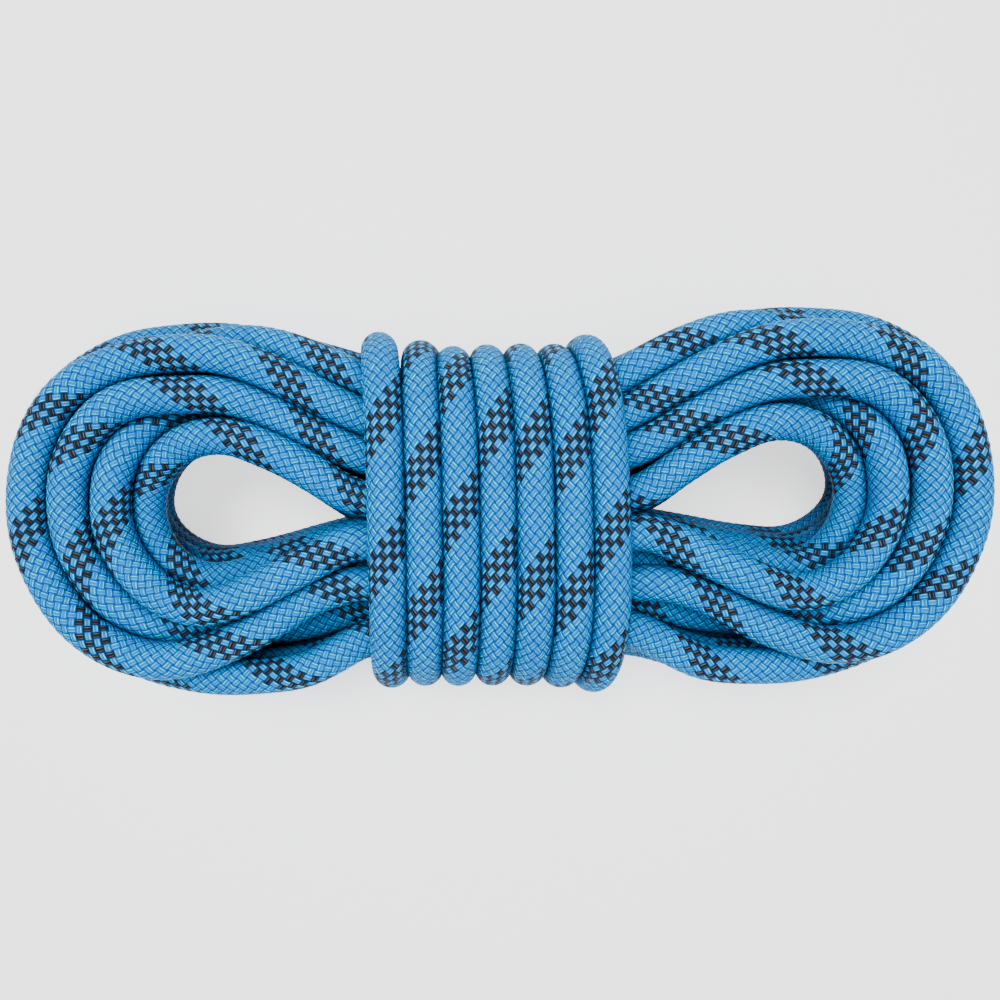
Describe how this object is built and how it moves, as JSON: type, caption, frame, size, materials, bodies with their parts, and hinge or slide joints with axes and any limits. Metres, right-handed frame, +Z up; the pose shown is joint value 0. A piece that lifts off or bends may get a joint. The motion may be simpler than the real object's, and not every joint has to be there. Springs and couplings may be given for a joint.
{
  "type": "dynamic climbing rope",
  "caption": "blue kernmantle climbing rope with a dark tracer, made up into long nested loops and wrapped round the waist, its two ends tucked underneath",
  "frame": {"origin": "on the floor, under the middle of the bundle", "axes": "+X along the bundle, +Y across it towards the side where the wrap turns cross over, +Z up out of the floor"},
  "size_m": [0.2964, 0.1153, 0.0685],
  "materials": {
    "rope_sheath": "woven, slightly glossy polyamide yarn with a dark tracer",
    "core_yarn": "matte twisted yarn",
    "fused_nylon": "melted, glossy",
    "shrink_sleeve": "satin"
  },
  "bodies": {
    "root": {"end_a": "rope_sheath", "end_a_sheath": "rope_sheath", "end_a_core_strand_1": "core_yarn", "end_a_core_strand_2": "core_yarn", "end_a_core_strand_3": "core_yarn", "end_a_core_strand_4": "core_yarn", "end_a_core_strand_5": "core_yarn", "end_a_core_strand_6": "core_yarn", "end_a_core_strand_7": "core_yarn", "end_a_plug": "fused_nylon", "end_a_sleeve": "shrink_sleeve", "end_b": "rope_sheath", "end_b_sheath": "rope_sheath", "end_b_core_strand_1": "core_yarn", "end_b_core_strand_2": "core_yarn", "end_b_core_strand_3": "core_yarn", "end_b_core_strand_4": "core_yarn", "end_b_core_strand_5": "core_yarn", "end_b_core_strand_6": "core_yarn", "end_b_core_strand_7": "core_yarn", "end_b_plug": "fused_nylon", "end_b_sleeve": "shrink_sleeve", "loop_01": "rope_sheath", "loop_02": "rope_sheath", "loop_03": "rope_sheath", "loop_04": "rope_sheath", "loop_05": "rope_sheath", "loop_06": "rope_sheath", "loop_07": "rope_sheath", "loop_08": "rope_sheath", "loop_09": "rope_sheath", "loop_10": "rope_sheath", "loop_11": "rope_sheath", "loop_12": "rope_sheath", "loop_13": "rope_sheath", "loop_14": "rope_sheath", "loop_15": "rope_sheath", "loop_16": "rope_sheath", "lead": "rope_sheath", "wrap_turn_1": "rope_sheath", "wrap_turn_2": "rope_sheath", "wrap_turn_3": "rope_sheath", "wrap_turn_4": "rope_sheath", "wrap_turn_5": "rope_sheath", "wrap_turn_6": "rope_sheath", "wrap_turn_7": "rope_sheath"}
  },
  "joints": []
}
